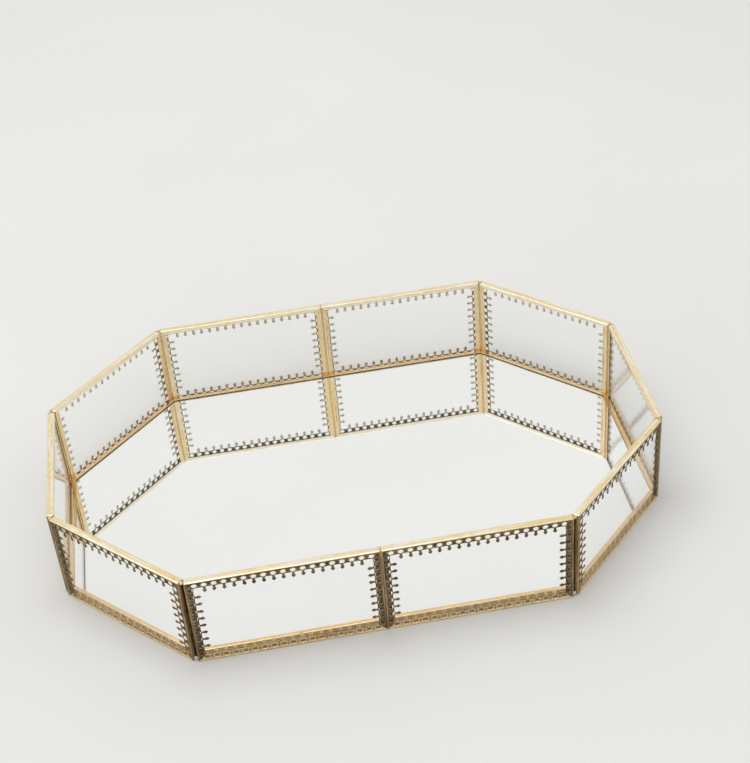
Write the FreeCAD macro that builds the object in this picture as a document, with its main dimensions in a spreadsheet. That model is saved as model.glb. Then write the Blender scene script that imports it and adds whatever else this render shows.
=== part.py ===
import FreeCAD, Part
import math
import os
import re

import Sketcher
from FreeCAD import Placement, Rotation, Vector

# A vanity tray in the shape of a long octagon. Its floor is a mirror in a frame of plain brass channel. Its walls
# are ten glass panes, each in a frame of four brass channel strips whose outer lip is pierced lace with hanging drops.
# The tray stands on its walls' lower edges. +X runs along the long sides, -Y is the front and +Z is up, from the
# middle of the footprint. Lengths are in millimetres.

DIMENSIONS = {
    # the walls
    "long_panel_width": 89,  # half of a long side
    "short_panel_width": 81,  # a whole end, or a whole corner side
    "panel_height": 50,
    "corner_turn": 45,  # degrees from one side of the octagon to the next
    # the brass channel that holds every pane
    "strip_depth": 3.6,  # across the pane, lip to lip
    "brass_gauge": 0.4,
    "inner_lip": 3.1,
    "top_inner_lip": 2.4,  # the inner lip of the strips along the top
    # the lace that is the channel's outer lip, with depths measured from the strip's outer edge
    "lace_lip": 3.9,  # down to the edge that the drops hang from
    "lace_pitch": 4.45,
    "hole_width": 2.5,
    "hole_tall": 2.4,
    "hole_depth": 2.4,  # of a hole's centre
    "long_strip_holes": 19,
    "short_strip_holes": 17,
    "side_strip_holes": 10,
    "drop_reach": 3.0,  # of a drop below the lace's edge
    "drop_root": 0.2,  # of a drop's stem above that edge
    "stem_width": 1.2,
    "stem_reach": 0.9,
    "bead_width": 1.9,
    "bead_reach": 1.9,  # of the bead's widest place
    # the floor
    "base_rise": 0.8,  # the floor's frame stands this far above the walls' lower edges
    "base_lip": 2.3,
    # the solder in the open V between two panels
    "solder_depth": 3.0,
    "low_solder_tall": 2.4,
    "top_solder_tall": 1.2,
}

START, END, CENTRE = 1, 2, 3  # a sketch's names for the points of a line or an ellipse
ORIGIN = (-1, START)  # the sketch's own origin, as geometry and point

doc = FreeCAD.newDocument("vanity_tray")
dimensions = doc.addObject("Spreadsheet::Sheet", "dimensions")
for row, (alias, number) in enumerate(DIMENSIONS.items(), 1):
    dimensions.set(f"A{row}", alias)
    dimensions.set(f"B{row}", str(number))
    dimensions.setAlias(f"B{row}", alias)
doc.recompute()

sub_parts = []


def formula(text):
    """A formula in the sheet's aliases, written so that any object of the document can read it."""
    return re.sub("[a-z_]+", lambda word: "dimensions." * (word[0] in DIMENSIONS) + word[0], text)


def value(text):
    return float(dimensions.evalExpression(formula(text)))


def bind(item, setting, text):
    item.setExpression(setting, formula(text))


# ---------------------------------------------------------------- sketches


def new_sketch(body, plane_role, name):
    sketch = body.newObject("Sketcher::SketchObject", f"{body.Name}_{name}")
    plane = next(item for item in body.Origin.OriginFeatures if item.Role == plane_role)
    sketch.AttachmentSupport = [(plane, "")]
    sketch.MapMode = "FlatFace"
    return sketch


def dimension(sketch, kind, where, text):
    """A driving dimension that follows the sheet."""
    index = sketch.addConstraint(Sketcher.Constraint(kind, *where, value(text)))
    bind(sketch, f"Constraints[{index}]", text)


def locate(sketch, item, point, place):
    """Ties a point to a place, given as a pair of formulas."""
    for axis, text in zip("XY", place):
        dimension(sketch, f"Distance{axis}", (*ORIGIN, item, point), text)


def outline(sketch, places):
    """A closed polygon through places, each a pair of formulas."""
    first = sketch.GeometryCount
    corners = [Vector(value(x), value(y), 0) for x, y in places]
    for corner, following in zip(corners, corners[1:] + corners[:1]):
        sketch.addGeometry(Part.LineSegment(corner, following))
    for n, place in enumerate(places):
        line = first + n
        following_line = first + (n + 1) % len(places)
        sketch.addConstraint(Sketcher.Constraint("Coincident", line, END, following_line, START))
        locate(sketch, line, START, place)


def oval(sketch, place, width, tall):
    """An ellipse with its long axis level."""
    centre = Vector(value(place[0]), value(place[1]), 0)
    ellipse = sketch.addGeometry(Part.Ellipse(centre, value(width) / 2, value(tall) / 2))
    sketch.exposeInternalGeometry(ellipse)
    long_axis = ellipse + 1
    short_axis = ellipse + 2
    sketch.addConstraint(Sketcher.Constraint("Horizontal", long_axis))
    dimension(sketch, "Distance", (long_axis,), width)
    dimension(sketch, "Distance", (short_axis,), tall)
    locate(sketch, ellipse, CENTRE, place)


# ---------------------------------------------------------------- features


def new_body(name):
    body = doc.addObject("PartDesign::Body", name)
    sub_parts.append(body)
    return body


def bar(body, profile, length):
    """The profile drawn out to both sides of its sketch."""
    pad = body.newObject("PartDesign::Pad", f"{body.Name}_bar")
    pad.Profile = profile
    pad.Midplane = True
    bind(pad, "Length", length)
    return pad


def plate(body, face, name, thickness):
    """The face raised along its sketch's normal."""
    pad = body.newObject("PartDesign::Pad", f"{body.Name}_{name}")
    pad.Profile = face
    bind(pad, "Length", thickness)
    return pad


def cut_through(body, face, name):
    """The face cut from everything to both sides of its sketch."""
    pocket = body.newObject("PartDesign::Pocket", f"{body.Name}_{name}")
    pocket.Profile = face
    pocket.Type = "ThroughAll"
    pocket.Midplane = True
    return pocket


def repeat(body, feature, sketch, name, count, pitch):
    """The feature count times, along its sketch's level axis."""
    pattern = body.newObject("PartDesign::LinearPattern", f"{body.Name}_{name}")
    pattern.Originals = [feature]
    pattern.Direction = (sketch, ["H_Axis"])
    bind(pattern, "Occurrences", count)
    bind(pattern, "Length", f"({count} - 1) * {pitch}")
    body.Tip = pattern
    return pattern


def mitre(body, plane_role, length, reach, slope):
    """Cuts both ends of a bar back by slope for each millimetre inward from its outer edge, as far in as reach."""
    sketch = new_sketch(body, plane_role, "mitres")
    for side in ("", "-"):
        outer_corner = (f"{side}({length}) / 2", "0 * brass_gauge")
        inner_end = (f"{side}(({length}) / 2 - {slope} * ({reach}))", f"-({reach})")
        square_corner = (f"{side}({length}) / 2", f"-({reach})")
        outline(sketch, [outer_corner, inner_end, square_corner])
    return cut_through(body, sketch, "mitre_cut")


def require_change(feature, base, grows):
    """A cut that points away from the solid leaves no error behind, so its volume is compared."""
    change = feature.Shape.Volume - base.Shape.Volume
    if (change > 0) != grows or abs(change) < 0.01:
        raise ValueError(f"{feature.Name} changes the volume by {change:.3f}")


# ---------------------------------------------------------------- strips and panes


def lace_strip(name, length, holes, lip, placement):
    """One side of a panel's frame. Its outer edge lies along X at the origin, its lips reach down and +Y is out."""
    body = new_body(name)
    profile = new_sketch(body, "YZ_Plane", "profile")
    outline(
        profile,
        [
            ("0 * brass_gauge", "0 * brass_gauge"),
            ("-strip_depth", "0 * brass_gauge"),
            ("-strip_depth", f"-{lip}"),
            ("brass_gauge - strip_depth", f"-{lip}"),
            ("brass_gauge - strip_depth", "-brass_gauge"),
            ("-brass_gauge", "-brass_gauge"),
            ("-brass_gauge", "-lace_lip"),
            ("0 * brass_gauge", "-lace_lip"),
        ],
    )
    channel = bar(body, profile, length)

    hole = new_sketch(body, "XZ_Plane", "hole")
    oval(hole, (f"-({holes} - 1) / 2 * lace_pitch", "-hole_depth"), "hole_width", "hole_tall")
    pierced = body.newObject("PartDesign::Pocket", f"{name}_pierced")
    pierced.Profile = hole
    pierced.Midplane = True
    bind(pierced, "Length", "2 * brass_gauge")
    holed = repeat(body, pierced, hole, "holes", holes, "lace_pitch")

    # a drop hangs under each hole but the two end ones, where the mitres leave no room
    middle = f"-({holes} - 3) / 2 * lace_pitch"
    drop = new_sketch(body, "XZ_Plane", "drop")
    outline(
        drop,
        [
            (f"{middle} - stem_width / 2", "drop_root - lace_lip"),
            (f"{middle} - stem_width / 2", "-lace_lip - stem_reach"),
            (f"{middle} - bead_width / 2", "-lace_lip - bead_reach"),
            (middle, "-lace_lip - drop_reach"),
            (f"{middle} + bead_width / 2", "-lace_lip - bead_reach"),
            (f"{middle} + stem_width / 2", "-lace_lip - stem_reach"),
            (f"{middle} + stem_width / 2", "drop_root - lace_lip"),
        ],
    )
    hung = plate(body, drop, "hung", "brass_gauge")
    dropped = repeat(body, hung, drop, "drops", f"({holes} - 2)", "lace_pitch")

    mitred = mitre(body, "XZ_Plane", length, "lace_lip + drop_reach + brass_gauge", "1")
    body.Placement = placement
    doc.recompute()
    require_change(holed, channel, grows=False)
    require_change(dropped, holed, grows=True)
    require_change(mitred, dropped, grows=False)


def base_strip(name, length, placement):
    """One side of the floor's frame. Its outer edge lies along X at the origin, its lips are level and +Y is out."""
    body = new_body(name)
    profile = new_sketch(body, "YZ_Plane", "profile")
    outline(
        profile,
        [
            ("0 * brass_gauge", "0 * brass_gauge"),
            ("0 * brass_gauge", "strip_depth"),
            ("-base_lip", "strip_depth"),
            ("-base_lip", "strip_depth - brass_gauge"),
            ("-brass_gauge", "strip_depth - brass_gauge"),
            ("-brass_gauge", "brass_gauge"),
            ("-base_lip", "brass_gauge"),
            ("-base_lip", "0 * brass_gauge"),
        ],
    )
    channel = bar(body, profile, length)
    mitred = mitre(body, "XY_Plane", length, "base_lip + brass_gauge", "tan(corner_turn / 2 * 1 deg)")
    body.Placement = placement
    doc.recompute()
    require_change(mitred, channel, grows=False)


def pane(name, width, placement):
    """A glass pane that fills its frame's channels, web to web. The placement is the frame's outer face, centred."""
    glass = doc.addObject("Part::Box", name)
    bind(glass, "Length", f"{width} - 2 * brass_gauge")
    bind(glass, "Width", "strip_depth - 2 * brass_gauge")
    bind(glass, "Height", "panel_height - 2 * brass_gauge")
    corner = Vector(-value(width) / 2, -value("strip_depth"), -value("panel_height") / 2)
    inset = Vector(*[value("brass_gauge")] * 3)
    glass.Placement = placement * Placement(corner + inset, Rotation())
    sub_parts.append(glass)


def panel(name, width, top_holes, placement):
    """A framed pane. The placement is the middle of its outer face, with local +Y out of the tray and +Z up."""
    pane(f"{name}_pane", width, placement)
    sides = {
        "top": (0, width, top_holes, "panel_height", "top_inner_lip"),
        "left": (90, "panel_height", "side_strip_holes", width, "inner_lip"),
        "bottom": (180, width, top_holes, "panel_height", "inner_lip"),
        "right": (-90, "panel_height", "side_strip_holes", width, "inner_lip"),
    }
    for side, (turn, length, holes, across, lip) in sides.items():
        turned = Placement(Vector(), Rotation(Vector(0, 1, 0), turn))
        raised = Placement(Vector(0, 0, value(across) / 2), Rotation())
        lace_strip(f"{name}_{side}_strip", length, holes, lip, placement * turned * raised)


def mirror_floor(corners):
    body = new_body("mirror_pane")
    face = new_sketch(body, "XY_Plane", "octagon")
    outline(face, corners)
    plate(body, face, "glass", "strip_depth - 2 * brass_gauge")
    body.Placement = Placement(Vector(0, 0, value("base_rise + brass_gauge")), Rotation())


def solder_wedge(n, corner, bisector, height, tall):
    """Solder that fills the V between two panels, from the V's root outward."""
    wedge = doc.addObject("Part::Wedge", f"solder_wedge_{n}")
    half_width = "solder_depth * tan(corner_turn / 2 * 1 deg)"
    bind(wedge, "Xmin", f"-{half_width}")
    bind(wedge, "Xmax", half_width)
    bind(wedge, "Ymax", "solder_depth")
    bind(wedge, "Zmax", tall)
    bind(wedge, "Z2max", tall)
    wedge.Ymin = wedge.Zmin = wedge.Z2min = wedge.X2min = wedge.X2max = 0
    out = Rotation(Vector(0, 0, 1), bisector).multVec(Vector(value("solder_depth"), 0, 0))
    wedge.Placement = Placement(corner + out + Vector(0, 0, height), Rotation(Vector(0, 0, 1), bisector + 90))
    return wedge


# ---------------------------------------------------------------- the tray

# The inner faces of the walls make an octagon. These are its half sizes and where its sides meet.
SLANT = "short_panel_width * cos(corner_turn * 1 deg)"
HALF_LENGTH = f"(long_panel_width + {SLANT})"
HALF_WIDTH = f"(short_panel_width / 2 + {SLANT})"
half_length = value(HALF_LENGTH)
half_width = value(HALF_WIDTH)
long_end = value("long_panel_width")
short_end = value("short_panel_width / 2")
corner_middle = Vector((long_end + half_length) / 2, (short_end + half_width) / 2, 0)
corner_turn = value("corner_turn")

# each side of the octagon: its name, its middle and the direction it faces, in degrees from +X
long_sides = [("front", Vector(0, -half_width, 0), -90), ("back", Vector(0, half_width, 0), 90)]
short_sides = [("left_end", Vector(-half_length, 0, 0), 180), ("right_end", Vector(half_length, 0, 0), 0)]
for depth, y_sign in (("front", -1), ("back", 1)):
    for hand, x_sign in (("left", -1), ("right", 1)):
        middle = Vector(x_sign * corner_middle.x, y_sign * corner_middle.y, 0)
        facing = math.degrees(math.atan2(y_sign, x_sign))
        short_sides.append((f"{depth}_{hand}_corner", middle, facing))


def facing_out(middle, facing, out, height):
    """A place at the given distance outside a side's middle, with local +Y pointing out of the tray."""
    turn = Rotation(Vector(0, 0, 1), facing - 90)
    return Placement(middle + turn.multVec(Vector(0, out, 0)) + Vector(0, 0, height), turn)


depth_of_wall = value("strip_depth")
middle_height = value("panel_height / 2")
for name, middle, facing in long_sides:
    for hand, sign in (("left", -1), ("right", 1)):
        half_middle = middle + Vector(sign * long_end / 2, 0, 0)
        place = facing_out(half_middle, facing, depth_of_wall, middle_height)
        panel(f"{name}_{hand}", "long_panel_width", "long_strip_holes", place)
for name, middle, facing in short_sides:
    place = facing_out(middle, facing, depth_of_wall, middle_height)
    panel(name, "short_panel_width", "short_strip_holes", place)

for sides, length in ((long_sides, "2 * long_panel_width"), (short_sides, "short_panel_width")):
    for name, middle, facing in sides:
        base_strip(f"{name}_base_strip", length, facing_out(middle, facing, 0, value("base_rise")))

# the mirror reaches the webs of its frame: each corner comes in by one gauge from both of its sides
CORNER_INSET = "brass_gauge * tan(corner_turn / 2 * 1 deg)"
quarter = [
    (f"({HALF_LENGTH} - brass_gauge)", f"(short_panel_width / 2 - {CORNER_INSET})"),
    (f"(long_panel_width - {CORNER_INSET})", f"({HALF_WIDTH} - brass_gauge)"),
]
octagon = []
for x_sign, y_sign, order in (("", "", 1), ("-", "", -1), ("-", "-", 1), ("", "-", -1)):
    octagon += [(x_sign + x, y_sign + y) for x, y in quarter[::order]]
mirror_floor(octagon)

wedges = []
for x_sign in (-1, 1):
    for y_sign in (-1, 1):
        for along, across, steps in ((long_end, half_width, 1.5), (half_length, short_end, 0.5)):
            corner = Vector(x_sign * along, y_sign * across, 0)
            away = Rotation(Vector(0, 0, 1), steps * corner_turn).multVec(Vector(1, 0, 0))
            bisector = math.degrees(math.atan2(y_sign * away.y, x_sign * away.x))
            for height, tall in (("0 * panel_height", "low_solder_tall"),
                                 ("panel_height - top_solder_tall", "top_solder_tall")):
                wedges.append(solder_wedge(len(wedges) + 1, corner, bisector, value(height), tall))
solder = doc.addObject("Part::Compound", "corner_solder")
solder.Links = wedges
sub_parts.append(solder)

# ---------------------------------------------------------------- checks and files

doc.recompute()
for item in doc.Objects:
    if {"Invalid", "Error"} & set(item.State):
        raise ValueError(f"{item.Name} did not build: {item.State}")
for item in sub_parts:
    if item.Shape.isNull() or not item.Shape.isValid() or not item.Shape.Solids:
        raise ValueError(f"{item.Name} is not a valid solid")
    if item is not solder and len(item.Shape.Solids) != 1:
        raise ValueError(f"{item.Name} is in {len(item.Shape.Solids)} pieces")

os.makedirs("parts", exist_ok=True)
for item in sub_parts:
    item.Shape.exportStep(f"parts/{item.Label}.step")

whole = Part.makeCompound([item.Shape for item in sub_parts]).BoundBox
print(f"{len(sub_parts)} sub-parts, {whole.XLength:.2f} x {whole.YLength:.2f} x {whole.ZLength:.2f} mm")
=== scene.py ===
import math

import bmesh
import bpy
import numpy as np
from mathutils import Matrix, Vector


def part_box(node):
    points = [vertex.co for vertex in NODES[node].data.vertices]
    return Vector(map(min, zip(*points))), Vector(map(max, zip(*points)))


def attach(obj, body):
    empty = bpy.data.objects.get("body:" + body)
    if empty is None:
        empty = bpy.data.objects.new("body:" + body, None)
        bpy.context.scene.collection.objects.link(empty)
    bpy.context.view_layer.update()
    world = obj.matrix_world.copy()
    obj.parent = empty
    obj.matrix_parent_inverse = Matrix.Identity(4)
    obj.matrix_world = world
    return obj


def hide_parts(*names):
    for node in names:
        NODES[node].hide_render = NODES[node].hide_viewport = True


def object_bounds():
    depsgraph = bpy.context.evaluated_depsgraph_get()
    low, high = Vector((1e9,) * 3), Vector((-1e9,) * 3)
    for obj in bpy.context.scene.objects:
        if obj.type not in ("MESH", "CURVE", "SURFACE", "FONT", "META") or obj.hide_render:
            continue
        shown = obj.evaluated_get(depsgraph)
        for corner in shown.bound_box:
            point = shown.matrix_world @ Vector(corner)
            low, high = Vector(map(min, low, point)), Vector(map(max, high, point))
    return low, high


# The looks of an octagonal vanity tray: pierced brass lace round ten glass panes, a mirror floor in a brass
# frame, and solder in the corners. Lengths are in metres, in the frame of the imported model.

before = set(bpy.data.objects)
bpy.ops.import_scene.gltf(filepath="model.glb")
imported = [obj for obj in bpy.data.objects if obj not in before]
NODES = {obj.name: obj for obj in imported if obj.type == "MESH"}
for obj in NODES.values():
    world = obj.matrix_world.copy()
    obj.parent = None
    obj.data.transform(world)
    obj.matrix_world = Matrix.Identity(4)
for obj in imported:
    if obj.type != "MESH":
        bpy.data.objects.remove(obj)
cad_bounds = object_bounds()

MM = 0.001

# the brass channel, with depths measured from a strip's outer edge
GAUGE = 0.4 * MM
STRIP_DEPTH = 3.6 * MM
INNER_LIP = 3.1 * MM
TOP_INNER_LIP = 2.4 * MM
BASE_LIP = 2.3 * MM
BAND = 1.05 * MM
FOLD_RADIUS = 0.25 * MM
JOINT_GAP = 0.04 * MM
WORN_CORNER = 0.2 * MM  # how far a web sinks at a mitre
WORN_REACH = 0.3 * MM
HALF_CORNER = 22.5  # degrees: half of the turn from one wall to the next
CORNER_SLOPE = math.tan(math.radians(HALF_CORNER))

# the lace
LACE_PITCH = 4.45 * MM
LACE_TOP = 0.85 * MM
LACE_EDGE = 3.9 * MM
BRIDGE_EDGE = 3.72 * MM
HOLE_DEPTH = 2.4 * MM
HOLE_HALF_WIDTH = 1.25 * MM
HOLE_HALF_HEIGHT = 1.2 * MM
DROP_REACH = 3.0 * MM
LONG_HOLES = 19
SHORT_HOLES = 17
SIDE_HOLES = 10
LONG_PANEL = 85 * MM  # a panel wider than this is half of a long side

# the glass
PANE_CLEARANCE = 0.06 * MM
PANE_EDGE = 0.25 * MM
MIRROR_BOARD = 1.9 * MM
MIRROR_EDGE = 0.3 * MM
MIRROR_CLEARANCE = 0.1 * MM
MIRROR_GAP = 0.05 * MM  # above and below, in its channel
SILVER_GAP = 0.01 * MM  # between the silvering and the board

# the solder and the filler
SOLDER_DEEP = 3.0 * MM
LOW_SOLDER_TALL = 2.4 * MM
TOP_SOLDER_TALL = 1.2 * MM
TOP_SOLDER_SINK = 0.1 * MM
SEAM_FOOT = 0.5 * MM
SEAM_HEAD = 0.4 * MM

# which way each wall faces, in degrees from +X
SIDE_FACINGS = {"front_left": -90, "front_right": -90, "back_left": 90, "back_right": 90,
                "left_end": 180, "right_end": 0,
                "front_left_corner": -135, "front_right_corner": -45,
                "back_left_corner": 135, "back_right_corner": 45}


# ---------------------------------------------------------------- places


def span(node, direction):
    """How far a CAD node reaches along a direction: its lowest and its highest value."""
    reached = [vertex.co.dot(direction) for vertex in NODES[node].data.vertices]
    return min(reached), max(reached)


def outward(facing):
    return Vector((math.cos(math.radians(facing)), math.sin(math.radians(facing)), 0))


def frame_of(node, facing):
    """The middle of a node's outer face, with local +Y out of the tray, and the node's width and height."""
    out = outward(facing)
    along = Vector((out.y, -out.x, 0))
    left, right = span(node, along)
    low, high = span(node, Vector((0, 0, 1)))
    face = span(node, out)[1]
    place = along * (left + right) / 2 + out * face + Vector((0, 0, (low + high) / 2))
    turn = Matrix((along, out, Vector((0, 0, 1)))).transposed().to_4x4()
    return Matrix.Translation(place) @ turn, right - left, high - low


# ---------------------------------------------------------------- pieces


def add_piece(name, verts, faces, material, replaced=(), place=None, smooth=True):
    """A piece of the object, which rides on the tray."""
    mesh = bpy.data.meshes.new(name)
    mesh.from_pydata(verts, [], faces)
    mesh.materials.append(material)
    mesh.polygons.foreach_set("use_smooth", [smooth] * len(mesh.polygons))
    if smooth:
        mesh.set_sharp_from_angle(angle=math.radians(42))
    piece = bpy.data.objects.new(name, mesh)
    bpy.context.scene.collection.objects.link(piece)
    if place is not None:
        piece.matrix_world = place
    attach(piece, "root")
    if replaced:
        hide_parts(*replaced)
    return piece


def add_values(piece, name, values):
    """A number or a vector for each vertex, under a name that the materials read."""
    values = np.asarray(values, np.float32)
    kind, field = ("FLOAT", "value") if values.ndim == 1 else ("FLOAT_VECTOR", "vector")
    piece.data.attributes.new(name, kind, "POINT").data.foreach_set(field, values.ravel())


class Shape:
    """Vertices with a zone and a place across the strip for each, and the faces between them."""

    def __init__(self):
        self.verts = []
        self.zones = []
        self.across = []
        self.faces = []

    def add(self, verts, zones, across, faces):
        start = len(self.verts)
        self.verts += [tuple(v) for v in verts]
        self.zones += list(zones)
        self.across += list(across)
        self.faces += [tuple(start + n for n in face) for face in faces]


def faces_between_rings(rings, size):
    """The faces between closed rings of vertices, which follow one another in the list of vertices."""
    faces = []
    for first in range(0, (rings - 1) * size, size):
        for n in range(size):
            following = (n + 1) % size
            faces.append((first + n, first + following, first + size + following, first + size + n))
    return faces


# ---------------------------------------------------------------- folded strips

# the parts of a strip, each painted its own darkness: partly patina, mostly painted light and shade
WEB, LIP, BAND_ZONE, INSIDE, RIM, RECESS, BACK, DROP, DROP_BACK = range(9)
FOLD_STEPS = 5
LONGEST_STEP = 0.5 * MM
LONGEST_BASE_STEP = 0.6 * MM


def folded_path(points, radius, steps):
    """A path through points with its corners rounded: for each sample its place and its normal."""
    points = [np.array(p) for p in points]
    samples = []
    for n, point in enumerate(points):
        before = points[n - 1] if n else None
        after = points[n + 1] if n + 1 < len(points) else None
        if before is None or after is None:
            ahead = (after - point) if before is None else (point - before)
            ahead = ahead / np.linalg.norm(ahead)
            samples.append((point, np.array([-ahead[1], ahead[0]])))
            continue
        into = (point - before) / np.linalg.norm(point - before)
        onward = (after - point) / np.linalg.norm(after - point)
        start_normal = np.array([-into[1], into[0]])
        end_normal = np.array([-onward[1], onward[0]])
        centre = point - into * radius + onward * radius
        for turn in np.linspace(0, math.pi / 2, steps):
            normal = start_normal * math.cos(turn) + end_normal * math.sin(turn)
            samples.append((centre + normal * radius, normal))
    return samples


def subdivided(samples, longest):
    """The same path with its straight runs divided evenly."""
    result = [samples[0]]
    for (start, start_normal), (end, end_normal) in zip(samples, samples[1:]):
        parts = max(1, math.ceil(np.linalg.norm(end - start) / longest))
        for part in range(1, parts + 1):
            share = part / parts
            normal = start_normal * (1 - share) + end_normal * share
            result.append((start * (1 - share) + end * share, normal / np.linalg.norm(normal)))
    return result


def stations(half):
    """Places along half a strip and more of them near its end, as shares of the whole half length."""
    near_end = [half - d * MM for d in (0, 0.12, 0.3, 0.6, 1.2)]
    plain = np.linspace(0, half - 2.2 * MM, max(2, round(half / (2.5 * MM))))
    right = sorted({*plain, *near_end})
    return np.array([-x for x in right[:0:-1]] + right) / half


def beyond(start, end, reach):
    """The place that lies past the end of a line, on from its start."""
    return end + (end - start) / np.linalg.norm(end - start) * reach


def sweep(shape, samples, length, slope, depth_of, zone_of):
    """A folded sheet along X, mitred at both ends by slope for each unit of depth, where its web is worn."""
    half_gauge = GAUGE / 2
    outer = [point + normal * half_gauge for point, normal in samples]
    inner = [point - normal * half_gauge for point, normal in samples]
    first_tip = beyond(samples[1][0], samples[0][0], half_gauge)
    last_tip = beyond(samples[-2][0], samples[-1][0], half_gauge)
    loop = outer + [last_tip] + inner[::-1] + [first_tip]
    zones = [zone_of(p) for p in outer] + [zone_of(last_tip)] + [INSIDE] * len(inner) + [zone_of(first_tip)]
    steps = [np.linalg.norm(b - a) for a, b in zip(loop, loop[1:])]
    across = np.concatenate([[0], np.cumsum(steps)])
    shares = stations(length / 2)
    verts = []
    for share in shares:
        for number, (y, z) in enumerate(loop):
            reach = length / 2 - JOINT_GAP - slope * depth_of(y, z)
            from_end = (1 - abs(share)) * length / 2
            worn = WORN_CORNER * math.exp(-((from_end / WORN_REACH) ** 2))
            sunk = worn if number < len(outer) and zones[number] == WEB else 0
            verts.append((share * reach, y, z - sunk))
    size = len(loop)
    faces = []
    for first in range(0, (len(shares) - 1) * size, size):
        for n in range(size):
            following = (n + 1) % size
            faces.append((first + n, first + size + n, first + size + following, first + following))
    last = (len(shares) - 1) * size
    count = len(outer)
    ends = [(n, n + 1, size - 3 - n, size - 2 - n) for n in range(count - 1)]
    ends += [(count - 1, count, count + 1), (size - 1, 0, size - 2)]
    for end in ends:
        faces.append(end)
        faces.append(tuple(last + k for k in reversed(end)))
    shape.add(verts, zones * len(shares), list(across) * len(shares), faces)


# ---------------------------------------------------------------- lace


def lace_edge(x):
    """The depth of the scalloped edge at x from a hole's middle."""
    wave = 0.5 + 0.5 * math.cos(2 * math.pi * min(abs(x) / LACE_PITCH, 0.5))
    return BRIDGE_EDGE + (LACE_EDGE - BRIDGE_EDGE) * wave


def cell_border(left_rest, right_rest):
    """The border of the metal round one hole.

    A rest is the length that the mitre leaves beyond the hole at depth 0, or None where another hole follows.
    """
    ends = []
    for rest in (left_rest, right_rest):
        if rest is None:
            ends.append((LACE_PITCH / 2, LACE_PITCH / 2))
            continue
        low, high = 0, LACE_PITCH / 2
        for _ in range(40):
            middle = (low + high) / 2
            low, high = (middle, high) if middle + lace_edge(middle) < rest else (low, middle)
        ends.append((rest - LACE_TOP, low))
    (left_top, left_low), (right_top, right_low) = ends
    top = [(x, LACE_TOP) for x in np.linspace(-left_top, right_top, 9)[:-1]]
    down = [(right_top + (right_low - right_top) * s, LACE_TOP + (lace_edge(right_low) - LACE_TOP) * s)
            for s in np.linspace(0, 1, 9)[:-1]]
    bottom = [(x, lace_edge(x)) for x in np.linspace(right_low, -left_low, 13)[:-1]]
    up = [(-left_low + (left_low - left_top) * s, lace_edge(left_low) + (LACE_TOP - lace_edge(left_low)) * s)
          for s in np.linspace(0, 1, 9)[:-1]]
    return top + down + bottom + up


# the lace's height and zone from a hole's rim, at share 0, to the border of its cell, at share 1
RELIEF = [(0, -0.15 * MM, RIM), (0.16, -0.03 * MM, RIM), (0.42, 0, RIM), (0.7, -0.08 * MM, RECESS),
          (1, -0.2 * MM, RECESS)]
LACE_BACK = -0.39 * MM


def lace_front(length, holes):
    """The lace's front as rings from each hole to its border, with neighbouring cells joined."""
    mesh = bmesh.new()
    zone_layer = mesh.verts.layers.int.new("zone")
    rest = length / 2 - JOINT_GAP - (holes - 1) / 2 * LACE_PITCH
    for hole in range(holes):
        middle = (hole - (holes - 1) / 2) * LACE_PITCH
        border = cell_border(rest if hole == 0 else None, rest if hole == holes - 1 else None)
        rings = []
        for share, height, zone in RELIEF:
            ring = []
            for x, depth in border:
                across_x, across_z = x, depth - HOLE_DEPTH
                scale = 1 / math.hypot(across_x / HOLE_HALF_WIDTH, across_z / HOLE_HALF_HEIGHT)
                from_middle = scale + (1 - scale) * share
                place = (middle + across_x * from_middle, height, -HOLE_DEPTH - across_z * from_middle)
                vertex = mesh.verts.new(place)
                vertex[zone_layer] = zone
                ring.append(vertex)
            rings.append(ring)
        for ring, wider in zip(rings, rings[1:]):
            for n in range(len(ring)):
                following = (n + 1) % len(ring)
                mesh.faces.new((ring[n], wider[n], wider[following], ring[following]))
    bmesh.ops.remove_doubles(mesh, verts=mesh.verts, dist=0.002 * MM)
    return mesh, zone_layer


def add_lace(shape, length, holes):
    """The lace as a closed plate: its front, a flat back and a wall along every open edge."""
    mesh, zone_layer = lace_front(length, holes)
    mesh.verts.index_update()
    front = [v.co.copy() for v in mesh.verts]
    zones = [v[zone_layer] for v in mesh.verts]
    count = len(front)
    faces = [tuple(v.index for v in f.verts) for f in mesh.faces]
    back_faces = [tuple(count + n for n in reversed(face)) for face in faces]
    walls = []
    for edge in mesh.edges:
        if edge.is_boundary:
            loop = edge.link_loops[0]
            start = loop.vert.index
            end = loop.link_loop_next.vert.index
            walls.append((end, start, count + start, count + end))
    mesh.free()
    back = [Vector((v.x, LACE_BACK, v.z)) for v in front]
    depths = [-v.z for v in front]
    shape.add(front + back, zones + [BACK] * count, depths + depths, faces + back_faces + walls)


# a drop's half width at each depth below the lace's edge, as shares of its reach and in millimetres
DROP_SECTIONS = [(-0.11, 0.56), (0.05, 0.6), (0.2, 0.57), (0.3, 0.6), (0.4, 0.74), (0.5, 0.9), (0.6, 0.97),
                 (0.71, 0.9), (0.81, 0.66), (0.91, 0.34), (0.985, 0.1)]
DROP_SIDES = 12


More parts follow.
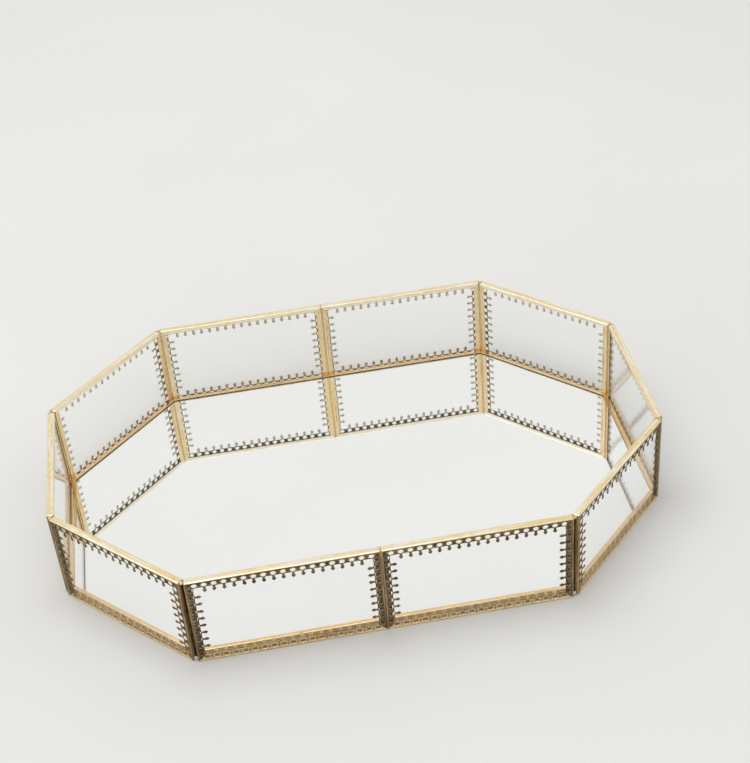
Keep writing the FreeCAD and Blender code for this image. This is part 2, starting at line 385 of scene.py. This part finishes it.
def add_drop(shape, middle, lean, twist):
    """One hanging drop: a stem that widens into a domed bead with a pointed tip."""
    verts = []
    zones = []
    for share, half_width in DROP_SECTIONS:
        depth = LACE_EDGE + share * DROP_REACH
        half_thick = min(0.2, 0.12 + half_width * 0.12) * MM
        half_thick = min(half_thick, half_width * 0.9 * MM)
        below = max(0, share) * DROP_REACH
        for side in range(DROP_SIDES):
            angle = 2 * math.pi * side / DROP_SIDES
            x = middle + half_width * MM * math.cos(angle) + lean * below
            y = -0.2 * MM + half_thick * math.sin(angle) + twist * below
            verts.append((x, y, -depth))
            zones.append(DROP if math.sin(angle) > -0.3 else DROP_BACK)
    faces = [tuple(reversed(range(DROP_SIDES)))]
    faces += faces_between_rings(len(DROP_SECTIONS), DROP_SIDES)
    faces.append(tuple(range(len(verts) - DROP_SIDES, len(verts))))
    shape.add(verts, zones, [-v[2] for v in verts], faces)


# ---------------------------------------------------------------- brass strips


def channel_zone(point):
    """Which part of a lace strip's channel the outer side of a point belongs to."""
    fold = FOLD_RADIUS + GAUGE / 2
    if point[1] > -0.8 * fold:
        return WEB
    return LIP if point[0] < -STRIP_DEPTH / 2 else BAND_ZONE


def base_zone(point):
    """A base strip's web stands against the panels' inner lips, and its two lips are level."""
    return BACK if point[0] > -FOLD_RADIUS else LIP


def lace_strip_shape(length, holes, inner_lip, crown, dice):
    """A channel strip with its lace: its edge along X, its lips reaching down and +Y out of the tray."""
    shape = Shape()
    half = GAUGE / 2
    web_height = -half - crown
    corners = [(-STRIP_DEPTH + half, -inner_lip + half), (-STRIP_DEPTH + half, web_height),
               (-half, web_height), (-half, -BAND + half)]
    samples = subdivided(folded_path(corners, FOLD_RADIUS, FOLD_STEPS), LONGEST_STEP)
    crowned = []
    for point, normal in samples:
        from_middle = (point[0] + STRIP_DEPTH / 2) / (STRIP_DEPTH / 2)
        rise = crown * max(0, 1 - from_middle**2)
        crowned.append((point + np.array([0, rise]), normal))
    sweep(shape, crowned, length, 1, lambda y, z: -z, channel_zone)
    add_lace(shape, length, holes)
    for hole in range(1, holes - 1):
        middle = (hole - (holes - 1) / 2) * LACE_PITCH
        add_drop(shape, middle, dice.normal(0, 0.03), dice.normal(0, 0.02))
    return shape


def ripple(x, dice):
    """A smooth hand-bent wave along a strip, between about -1 and 1."""
    total = np.zeros_like(x)
    for wave_length in (47 * MM, 23 * MM, 11 * MM):
        phase = dice.uniform(0, 2 * math.pi)
        total += 0.45 * np.sin(2 * math.pi * x / wave_length + phase)
    return total


def bend(shape, dice):
    """The small unevenness of strips that were folded and fitted by hand."""
    verts = np.array(shape.verts)
    depth = -verts[:, 2] / LACE_EDGE
    verts[:, 2] += 0.035 * MM * ripple(verts[:, 0], dice) * (depth < 0.4)
    inner = verts[:, 1] < -STRIP_DEPTH / 2
    sway = ripple(verts[:, 0], dice)
    verts[:, 1] += 0.05 * MM * sway * np.where(inner, np.clip(depth, 0, 1), np.clip(depth, 0, 1.8))
    return verts


# how dark each zone is painted, from 0 for bright metal to 1 for nearly black. The recesses' darkening is
# patina;
# the rest is painted light and shade: painted shade on the outward lace, inside the channel and on the side
# webs in the V of a corner, and painted light on the top rail's web and lips, the bottom strips' folds and
# the drops' backs, so the top, side and bottom strips are lit and shaded copies of one brass
ROLE_PATINA_AND_PAINTED_LIGHT = {
    "top": {WEB: 0.1, LIP: 0, BAND_ZONE: 0.72, INSIDE: 0.5, RIM: 0.68,
            RECESS: 0.84, BACK: 0.48, DROP: 0.76, DROP_BACK: 0.05},
    "side": {WEB: 0.6, LIP: 0.19, BAND_ZONE: 0.64, INSIDE: 0.85, RIM: 0.66,
             RECESS: 0.84, BACK: 0.24, DROP: 0.74, DROP_BACK: 0.05},
    "bottom": {WEB: 0.3, LIP: 0.28, BAND_ZONE: 0.2, INSIDE: 0.2, RIM: 0.24,
               RECESS: 0.5, BACK: 0.3, DROP: 0.32, DROP_BACK: 0.2},
}
# the base strip's tones: its web is painted lighter than its lips, painted light where it stands in shade
# behind the panels' inner lips
BASE_TONES_AND_PAINTED_LIGHT = {LIP: 0.27, BACK: 0.1, INSIDE: 0}

# how much of each covered zone has a dull film of putty and tarnish over the metal
FILMED_ZONES = {INSIDE: 1, BACK: 0.7, DROP_BACK: 0.5}
SIDE_WEB_FILM = 0.45

# how far the middle of each web stands above its folds
CROWNS = {"top": 0.1 * MM, "side": 0.03 * MM, "bottom": 0.06 * MM}


def add_brass_values(piece, shape, tones, films, number):
    """What the brass's material reads: how dark and how dull it is, and the place along and across it."""
    add_values(piece, "tone", [tones[zone] for zone in shape.zones])
    add_values(piece, "film", [films.get(zone, 0) for zone in shape.zones])
    along = [vertex.co.x / MM for vertex in piece.data.vertices]
    across = np.array(shape.across) / MM
    add_values(piece, "grain", np.column_stack([along, across, np.full(len(along), number * 7.3)]))


def add_lace_strip(name, node, place, length, holes, role, number, material):
    dice = np.random.default_rng(number)
    inner_lip = TOP_INNER_LIP if role == "top" else INNER_LIP
    shape = lace_strip_shape(length, holes, inner_lip, CROWNS[role], dice)
    verts = bend(shape, dice)
    piece = add_piece(name, verts, shape.faces, material, [node], place)
    films = {**FILMED_ZONES, WEB: SIDE_WEB_FILM if role == "side" else 0}
    add_brass_values(piece, shape, ROLE_PATINA_AND_PAINTED_LIGHT[role], films, number)


def add_base_strip(name, node, facing, number, material):
    place, length, height = frame_of(node, facing)
    shape = Shape()
    half = GAUGE / 2
    top = height / 2 - half
    corners = [(-BASE_LIP + half, top), (-half, top), (-half, -top), (-BASE_LIP + half, -top)]
    samples = subdivided(folded_path(corners, FOLD_RADIUS, FOLD_STEPS), LONGEST_BASE_STEP)
    sweep(shape, samples, length, CORNER_SLOPE, lambda y, z: -y, base_zone)
    verts = np.array(shape.verts)
    dice = np.random.default_rng(number)
    verts[:, 2] += 0.05 * MM * ripple(verts[:, 0], dice) * np.clip(-verts[:, 1] / BASE_LIP, 0, 1)
    piece = add_piece(name, verts, shape.faces, material, [node], place)
    add_brass_values(piece, shape, BASE_TONES_AND_PAINTED_LIGHT, FILMED_ZONES, number)


# ---------------------------------------------------------------- glass


def add_pane(name, node, facing, material):
    """A glass pane with ground edges, a little clear of the brass all round."""
    place, width, height = frame_of(node, facing)
    thickness = STRIP_DEPTH - 2 * GAUGE
    mesh = bmesh.new()
    bmesh.ops.create_cube(mesh, size=1)
    middle = Vector((0, -thickness / 2, 0))
    for vertex in mesh.verts:
        vertex.co.x *= width - 6 * PANE_CLEARANCE
        vertex.co.y *= thickness - 2 * PANE_CLEARANCE
        vertex.co.z *= height - 6 * PANE_CLEARANCE
        vertex.co += middle
    bmesh.ops.bevel(mesh, geom=mesh.edges[:], offset=PANE_EDGE, segments=3, affect="EDGES", profile=0.5)
    mesh.verts.index_update()
    verts = [tuple(v.co) for v in mesh.verts]
    faces = [tuple(v.index for v in f.verts) for f in mesh.faces]
    mesh.free()
    add_piece(name, verts, faces, material, [node], place, smooth=False)


def octagon_plate(corners, sections):
    """A closed plate: the octagon drawn in by each section's inset at that section's height."""
    verts = []
    for inset, height in sections:
        for corner in corners:
            reach = corner.length - inset
            verts.append((*(corner.normalized() * reach), height))
    count = len(corners)
    faces = [tuple(reversed(range(count)))]
    faces += faces_between_rings(len(sections), count)
    faces.append(tuple(range(len(verts) - count, len(verts))))
    return verts, faces


def add_mirror(glass_material, silver_material, paint_material):
    """A second-surface mirror: clear glass with a silvered underside, over a painted board."""
    low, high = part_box("mirror_pane")
    corners = {(round(v.co.x, 5), round(v.co.y, 5)) for v in NODES["mirror_pane"].data.vertices}
    corners = [Vector(c) for c in sorted(corners, key=lambda c: math.atan2(c[1], c[0]))]
    drawn_in = MIRROR_CLEARANCE + MIRROR_EDGE
    bottom = low.z + MIRROR_GAP
    silver = bottom + MIRROR_BOARD
    top = high.z - MIRROR_GAP
    sections = [(drawn_in, silver + SILVER_GAP), (MIRROR_CLEARANCE, silver + MIRROR_EDGE),
                (MIRROR_CLEARANCE, top - MIRROR_EDGE), (drawn_in, top)]
    verts, faces = octagon_plate(corners, sections)
    glass = add_piece("mirror_glass", verts, faces, glass_material, ["mirror_pane"], smooth=False)
    glass.data.materials.append(silver_material)
    for polygon in glass.data.polygons:
        polygon.material_index = 1 if polygon.normal.z < -0.9 else 0
    sections = [(drawn_in, bottom), (drawn_in - MIRROR_EDGE / 2, (bottom + silver) / 2), (drawn_in, silver)]
    verts, faces = octagon_plate(corners, sections)
    add_piece("mirror_board", verts, faces, paint_material, smooth=False)


# ---------------------------------------------------------------- solder and filler


def v_roots():
    """Where the walls' inner faces meet, and the direction that the V between them opens."""
    places = []
    lines = []
    for name in ("right_end", "back_right_corner", "back_right", "back_left_corner",
                 "left_end", "front_left_corner", "front_left", "front_right_corner"):
        facing = SIDE_FACINGS[name]
        out = outward(facing)
        inner = span(f"{name}_top_strip", out)[0]
        lines.append((out, inner, facing))
    for (out, inner, facing), (next_out, next_inner, _) in zip(lines, lines[1:] + lines[:1]):
        across = out.x * next_out.y - out.y * next_out.x
        x = (inner * next_out.y - next_inner * out.y) / across
        y = (out.x * next_inner - next_out.x * inner) / across
        places.append((Vector((x, y, 0)), facing + HALF_CORNER))
    return places


BLOB_ROWS = 11
BLOB_COLUMNS = 20
# the low blobs are bright tin; the top blobs are painted a darker olive-gold, painted shade for the V that
# they sink into
LOW_SOLDER_TONE = 0
TOP_SOLDER_TONE_AND_SHADE = 0.62


def solder_blob(place, bisector, foot, tall, phases):
    """Rings of points round a lump of solder that fills the V between two panels, rounded at both ends."""
    out = outward(bisector)
    along = Vector((-out.y, out.x, 0))
    verts = []
    for row in range(BLOB_ROWS):
        rise = row / (BLOB_ROWS - 1)
        bulge = math.sin(math.pi * (0.06 + 0.88 * rise)) ** 0.35
        for column in range(BLOB_COLUMNS):
            angle = 2 * math.pi * column / BLOB_COLUMNS
            wave = math.sin(3 * angle + phases[0]) + math.sin(2 * angle + 5 * rise + phases[1])
            depth = SOLDER_DEEP * (0.56 + 0.44 * bulge * math.cos(angle) * (1 + 0.05 * wave))
            side = math.copysign(min(abs(1.25 * math.sin(angle)), 1), math.sin(angle))
            wide = depth * CORNER_SLOPE * side * (0.35 + 0.65 * bulge)
            point = place + out * depth + along * wide
            verts.append((point.x, point.y, foot + rise * tall))
    return verts


def add_solder(material):
    """A soft blob of solder in the V between two panels, at the bottom and the top of every corner."""
    top_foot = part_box("corner_solder")[1].z - TOP_SOLDER_SINK - TOP_SOLDER_TALL
    size = BLOB_ROWS * BLOB_COLUMNS
    blob_faces = [tuple(reversed(range(BLOB_COLUMNS)))]
    blob_faces += faces_between_rings(BLOB_ROWS, BLOB_COLUMNS)
    blob_faces.append(tuple(range(size - BLOB_COLUMNS, size)))
    ends = ((0, LOW_SOLDER_TALL, LOW_SOLDER_TONE), (top_foot, TOP_SOLDER_TALL, TOP_SOLDER_TONE_AND_SHADE))
    verts = []
    faces = []
    tones = []
    dice = np.random.default_rng(5)
    for place, bisector in v_roots():
        for foot, tall, tone in ends:
            faces += [tuple(len(verts) + n for n in face) for face in blob_faces]
            verts += solder_blob(place, bisector, foot, tall, dice.uniform(0, 2 * math.pi, 3))
            tones += [tone] * size
    piece = add_piece("corner_solder_blobs", verts, faces, material, ["corner_solder"])
    add_values(piece, "tone", tones)


# the section of the filler between two strips, as (outward, sideways) in millimetres from the inner face
CORNER_SEAM = [(0.07, -0.38), (0.03, 0), (0.07, 0.38), (0.8, 0.5), (1.7, 0.8),
               (1.45, 0.4), (1.35, 0), (1.45, -0.4), (1.7, -0.8), (0.8, -0.5)]
LEVEL_SEAM = [(0.07, -0.38), (0.02, 0), (0.07, 0.38), (1.8, 0.3),
              (3.44, 0.34), (3.51, 0), (3.44, -0.34), (1.8, -0.3)]
# the filler is painted near-black in the V of a corner and dark between level strips, painted shade of the
# groove; inside it is bright
SEAM_TONES_AND_SHADE = {"inside": 0.28, "corner": 0.97, "level": 0.78}


def add_seams(material):
    """The filler that closes the joint between each two panels, bright inside the tray, and painted dark
    outside as painted shade in the groove between the strips.
    """
    posts = [(place, bisector, CORNER_SEAM, "corner") for place, bisector in v_roots()]
    for facing, node in ((90, "back_left_top_strip"), (-90, "front_left_top_strip")):
        out = outward(facing)
        posts.append((out * span(node, out)[0], facing, LEVEL_SEAM, "level"))
    levels = np.linspace(SEAM_FOOT, cad_bounds[1].z - SEAM_HEAD, 26)
    dice = np.random.default_rng(77)
    shape = Shape()
    tones = []
    for place, facing, profile, kind in posts:
        out = outward(facing)
        along = Vector((-out.y, out.x, 0))
        verts = []
        for level in levels:
            unevenness = dice.normal(0, 0.03, len(profile))
            for (deep, wide), shift in zip(profile, unevenness):
                point = place + out * (deep + shift) * MM + along * wide * MM
                verts.append((point.x, point.y, level))
                tones.append(SEAM_TONES_AND_SHADE["inside" if deep < 0.3 else kind])
        size = len(profile)
        faces = [tuple(range(size)), tuple(reversed(range(len(verts) - size, len(verts))))]
        faces += [tuple(reversed(face)) for face in faces_between_rings(len(levels), size)]
        shape.add(verts, [WEB] * len(verts), [0] * len(verts), faces)
    piece = add_piece("post_seams", shape.verts, shape.faces, material)
    add_values(piece, "tone", tones)
    add_values(piece, "grain", [(z / MM, x / MM, y / MM) for x, y, z in shape.verts])


# ---------------------------------------------------------------- materials


def new_material(name):
    material = bpy.data.materials.new(name)
    material.use_nodes = True
    nodes = material.node_tree.nodes
    shader = nodes["Principled BSDF"]
    return material, nodes, material.node_tree.links, shader


def attribute(nodes, name):
    node = nodes.new("ShaderNodeAttribute")
    node.attribute_name = name
    return node


def noise(nodes, links, vector, stretch, scale, detail=3):
    mapping = nodes.new("ShaderNodeMapping")
    mapping.inputs["Scale"].default_value = stretch
    links.new(vector, mapping.inputs["Vector"])
    texture = nodes.new("ShaderNodeTexNoise")
    texture.inputs["Scale"].default_value = scale
    texture.inputs["Detail"].default_value = detail
    links.new(mapping.outputs["Vector"], texture.inputs["Vector"])
    return texture.outputs["Fac"]


def remapped(nodes, links, value, low, high):
    """The middle of a noise's range spread over low to high."""
    node = nodes.new("ShaderNodeMapRange")
    node.inputs["From Min"].default_value = 0.3
    node.inputs["From Max"].default_value = 0.7
    node.inputs["To Min"].default_value = low
    node.inputs["To Max"].default_value = high
    links.new(value, node.inputs["Value"])
    return node.outputs["Result"]


def calculated(nodes, links, operation, first, second, clamp=False):
    node = nodes.new("ShaderNodeMath")
    node.operation = operation
    node.use_clamp = clamp
    for socket, item in zip(node.inputs, (first, second)):
        if isinstance(item, (int, float)):
            socket.default_value = item
        else:
            links.new(item, socket)
    return node.outputs["Value"]


def bumped(nodes, links, shader, height, strength, distance):
    """The shader's surface raised and lowered by a height."""
    bump = nodes.new("ShaderNodeBump")
    bump.inputs["Strength"].default_value = strength
    bump.inputs["Distance"].default_value = distance
    links.new(height, bump.inputs["Height"])
    links.new(bump.outputs["Normal"], shader.inputs["Normal"])


def ramp(nodes, links, value, stops):
    node = nodes.new("ShaderNodeValToRGB")
    elements = node.color_ramp.elements
    while len(elements) < len(stops):
        elements.new(0.5)
    for element, (position, colour) in zip(elements, stops):
        element.position = position
        element.color = (*colour, 1)
    links.new(value, node.inputs["Fac"])
    return node.outputs["Color"]


def brass(name, stops, roughness):
    """Brass sheet with drawing marks along it, darker where its tone paints patina and shade, and worn
    brighter in patches.
    """
    material, nodes, links, shader = new_material(name)
    tone = attribute(nodes, "tone").outputs["Fac"]
    grain = attribute(nodes, "grain").outputs["Vector"]
    streaks = noise(nodes, links, grain, (0.035, 1.15, 1), 1.0, 2)
    blotches = noise(nodes, links, grain, (0.3, 0.5, 1), 1.0, 4)
    marks = noise(nodes, links, grain, (0.5, 9, 1), 1.0, 4)
    shade = calculated(nodes, links, "ADD", tone, remapped(nodes, links, streaks, -0.13, 0.16))
    shade = calculated(nodes, links, "ADD", shade, remapped(nodes, links, blotches, -0.07, 0.07), True)
    links.new(ramp(nodes, links, shade, stops), shader.inputs["Base Color"])
    dullness = calculated(nodes, links, "MULTIPLY", tone, 0.14)
    film = attribute(nodes, "film").outputs["Fac"]
    dullness = calculated(nodes, links, "ADD", dullness, calculated(nodes, links, "MULTIPLY", film, 0.4))
    rough = calculated(nodes, links, "ADD", dullness, remapped(nodes, links, marks, *roughness))
    links.new(rough, shader.inputs["Roughness"])
    links.new(calculated(nodes, links, "SUBTRACT", 1, film), shader.inputs["Metallic"])
    height = calculated(nodes, links, "ADD", streaks, calculated(nodes, links, "MULTIPLY", marks, 0.25))
    bumped(nodes, links, shader, height, 0.5, 0.06 * MM)
    return material


def clear_glass(name, tint):
    material, _, _, shader = new_material(name)
    shader.inputs["Base Color"].default_value = (*tint, 1)
    shader.inputs["Roughness"].default_value = 0
    shader.inputs["IOR"].default_value = 1.5
    shader.inputs["Transmission Weight"].default_value = 1
    return material


def silvering():
    material, nodes, links, shader = new_material("mirror_silvering")
    place = nodes.new("ShaderNodeTexCoord").outputs["Object"]
    cloud = noise(nodes, links, place, (1, 1, 1), 14, 3)
    colours = [(0.3, (0.935, 0.935, 0.925)), (0.7, (0.955, 0.955, 0.945))]
    links.new(ramp(nodes, links, cloud, colours), shader.inputs["Base Color"])
    shader.inputs["Metallic"].default_value = 1
    links.new(remapped(nodes, links, cloud, 0.004, 0.012), shader.inputs["Roughness"])
    return material


def backing_paint():
    material, nodes, links, shader = new_material("mirror_backing_paint")
    place = nodes.new("ShaderNodeTexCoord").outputs["Object"]
    cloud = noise(nodes, links, place, (1, 1, 1), 35, 5)
    colours = [(0.3, (0.2, 0.205, 0.21)), (0.7, (0.27, 0.275, 0.28))]
    links.new(ramp(nodes, links, cloud, colours), shader.inputs["Base Color"])
    links.new(remapped(nodes, links, cloud, 0.38, 0.55), shader.inputs["Roughness"])
    specks = noise(nodes, links, place, (1, 1, 1), 2600, 2)
    bumped(nodes, links, shader, specks, 0.4, 0.03 * MM)
    return material


SOLDER_STOPS = [(0, (0.74, 0.72, 0.67)), (0.3, (0.5, 0.47, 0.4)), (0.6, (0.84, 0.7, 0.44)),
                (0.95, (0.4, 0.31, 0.13))]


def solder_metal():
    material, nodes, links, shader = new_material("solder_metal")
    place = nodes.new("ShaderNodeTexCoord").outputs["Object"]
    cloud = noise(nodes, links, place, (1, 1, 1), 500, 3)
    tone = attribute(nodes, "tone").outputs["Fac"]
    shade = calculated(nodes, links, "ADD", tone, remapped(nodes, links, cloud, 0, 0.3), True)
    links.new(ramp(nodes, links, shade, SOLDER_STOPS), shader.inputs["Base Color"])
    shader.inputs["Metallic"].default_value = 1
    links.new(remapped(nodes, links, cloud, 0.22, 0.42), shader.inputs["Roughness"])
    bumped(nodes, links, shader, cloud, 0.6, 0.12 * MM)
    return material


def floor_paint():
    material, nodes, links, shader = new_material("floor_paint")
    place = nodes.new("ShaderNodeTexCoord").outputs["Object"]
    cloud = noise(nodes, links, place, (1, 1, 1), 3, 3)
    colours = [(0.3, (0.7, 0.7, 0.69)), (0.7, (0.73, 0.73, 0.72))]
    links.new(ramp(nodes, links, cloud, colours), shader.inputs["Base Color"])
    shader.inputs["Roughness"].default_value = 0.7
    return material


# ---------------------------------------------------------------- the tray

# the brass's colours from bright to nearly black
LACE_STOPS = [(0, (0.93, 0.87, 0.73)), (0.12, (0.88, 0.75, 0.5)), (0.27, (0.84, 0.61, 0.31)),
              (0.5, (0.46, 0.33, 0.17)), (0.75, (0.17, 0.13, 0.06)), (1, (0.035, 0.009, 0.003))]
BASE_STOPS = [(0, (0.9, 0.76, 0.5)), (0.3, (0.83, 0.56, 0.28)), (0.75, (0.25, 0.17, 0.08)),
              (1, (0.06, 0.03, 0.01))]
lace_brass = brass("lace_brass", LACE_STOPS, (0.16, 0.3))
base_brass = brass("base_brass", BASE_STOPS, (0.14, 0.26))
pane_glass = clear_glass("pane_glass", (0.99, 0.995, 0.99))
mirror_glass = clear_glass("mirror_glass", (0.99, 0.993, 0.988))

strip_number = 0
for side, facing in SIDE_FACINGS.items():
    face, width, _ = frame_of(f"{side}_top_strip", facing)
    low, high = span(f"{side}_left_strip", Vector((0, 0, 1)))
    height = high - low
    middle = face.copy()
    middle.translation.z = (low + high) / 2
    level_holes = LONG_HOLES if width > LONG_PANEL else SHORT_HOLES
    runs = {"top": (0, width, level_holes, height, "top"),
            "left": (90, height, SIDE_HOLES, width, "side"),
            "bottom": (180, width, level_holes, height, "bottom"),
            "right": (-90, height, SIDE_HOLES, width, "side")}
    for run, (turn, length, holes, across, role) in runs.items():
        strip_number += 1
        place = middle @ Matrix.Rotation(math.radians(turn), 4, "Y") @ Matrix.Translation((0, 0, across / 2))
        add_lace_strip(f"{side}_{run}_lace", f"{side}_{run}_strip", place, length, holes, role,
                       strip_number, lace_brass)
    add_pane(f"{side}_glass", f"{side}_pane", facing, pane_glass)

base_facings = {"front": -90, "back": 90}
for side, facing in SIDE_FACINGS.items():
    if "end" in side or "corner" in side:
        base_facings[side] = facing
for side, facing in base_facings.items():
    strip_number += 1
    add_base_strip(f"{side}_base_channel", f"{side}_base_strip", facing, strip_number, base_brass)

add_mirror(mirror_glass, silvering(), backing_paint())
add_solder(solder_metal())
add_seams(lace_brass)


# ---------------------------------------------------------------- stage, light and camera


def add_floor():
    mesh = bpy.data.meshes.new("floor")
    half = 4.0
    level = cad_bounds[0].z - 0.1 * MM
    mesh.from_pydata([(-half, -half, level), (half, -half, level), (half, half, level), (-half, half, level)],
                     [], [(0, 1, 2, 3)])
    mesh.materials.append(floor_paint())
    floor = bpy.data.objects.new("floor", mesh)
    bpy.context.scene.collection.objects.link(floor)


def add_surroundings():
    """A pale studio all round, brighter behind the tray and overhead than low down in front of it."""
    world = bpy.data.worlds.new("studio")
    world.use_nodes = True
    bpy.context.scene.world = world
    nodes = world.node_tree.nodes
    links = world.node_tree.links
    direction = nodes.new("ShaderNodeTexCoord").outputs["Generated"]
    back_and_up = nodes.new("ShaderNodeVectorMath")
    back_and_up.operation = "DOT_PRODUCT"
    back_and_up.inputs[1].default_value = (0, 1, 1.3)
    links.new(direction, back_and_up.inputs[0])
    backward = nodes.new("ShaderNodeMapRange")
    backward.interpolation_type = "SMOOTHSTEP"
    backward.inputs["From Min"].default_value = -0.9
    backward.inputs["From Max"].default_value = 0.1
    links.new(back_and_up.outputs["Value"], backward.inputs["Value"])
    stops = [(0, (0.74, 0.73, 0.71)), (1, (0.9, 0.895, 0.878))]
    links.new(ramp(nodes, links, backward.outputs["Result"], stops), nodes["Background"].inputs["Color"])
    nodes["Background"].inputs["Strength"].default_value = 1.0


def add_lamp():
    lamp = bpy.data.lights.new("overhead_softbox", "AREA")
    lamp.shape = "SQUARE"
    lamp.size = 1.1
    lamp.energy = 7.5
    lamp.color = (1, 0.985, 0.96)
    holder = bpy.data.objects.new("overhead_softbox", lamp)
    holder.location = (-0.35, 0.15, 1.5)
    holder.rotation_euler = Vector(holder.location).to_track_quat("Z", "Y").to_euler()
    bpy.context.scene.collection.objects.link(holder)


def add_camera():
    """The camera looks down on the front from a little to the left."""
    place = Vector((-0.0502, -0.5984, 0.5212))
    yaw, pitch, roll = (math.radians(a) for a in (6.259, 36.986, -5.198))
    ahead = Vector((math.sin(yaw) * math.cos(pitch), math.cos(yaw) * math.cos(pitch), -math.sin(pitch)))
    level = ahead.cross(Vector((0, 0, 1))).normalized()
    upright = level.cross(ahead)
    right = math.cos(roll) * level + math.sin(roll) * upright
    up = -math.sin(roll) * level + math.cos(roll) * upright
    data = bpy.data.cameras.new("camera")
    data.sensor_width = 36
    data.lens = 71.98
    camera = bpy.data.objects.new("camera", data)
    camera.matrix_world = Matrix.Translation(place) @ Matrix((right, up, -ahead)).transposed().to_4x4()
    bpy.context.scene.collection.objects.link(camera)
    bpy.context.scene.camera = camera


add_floor()
add_surroundings()
add_lamp()
add_camera()
bpy.context.scene.view_settings.view_transform = "Standard"
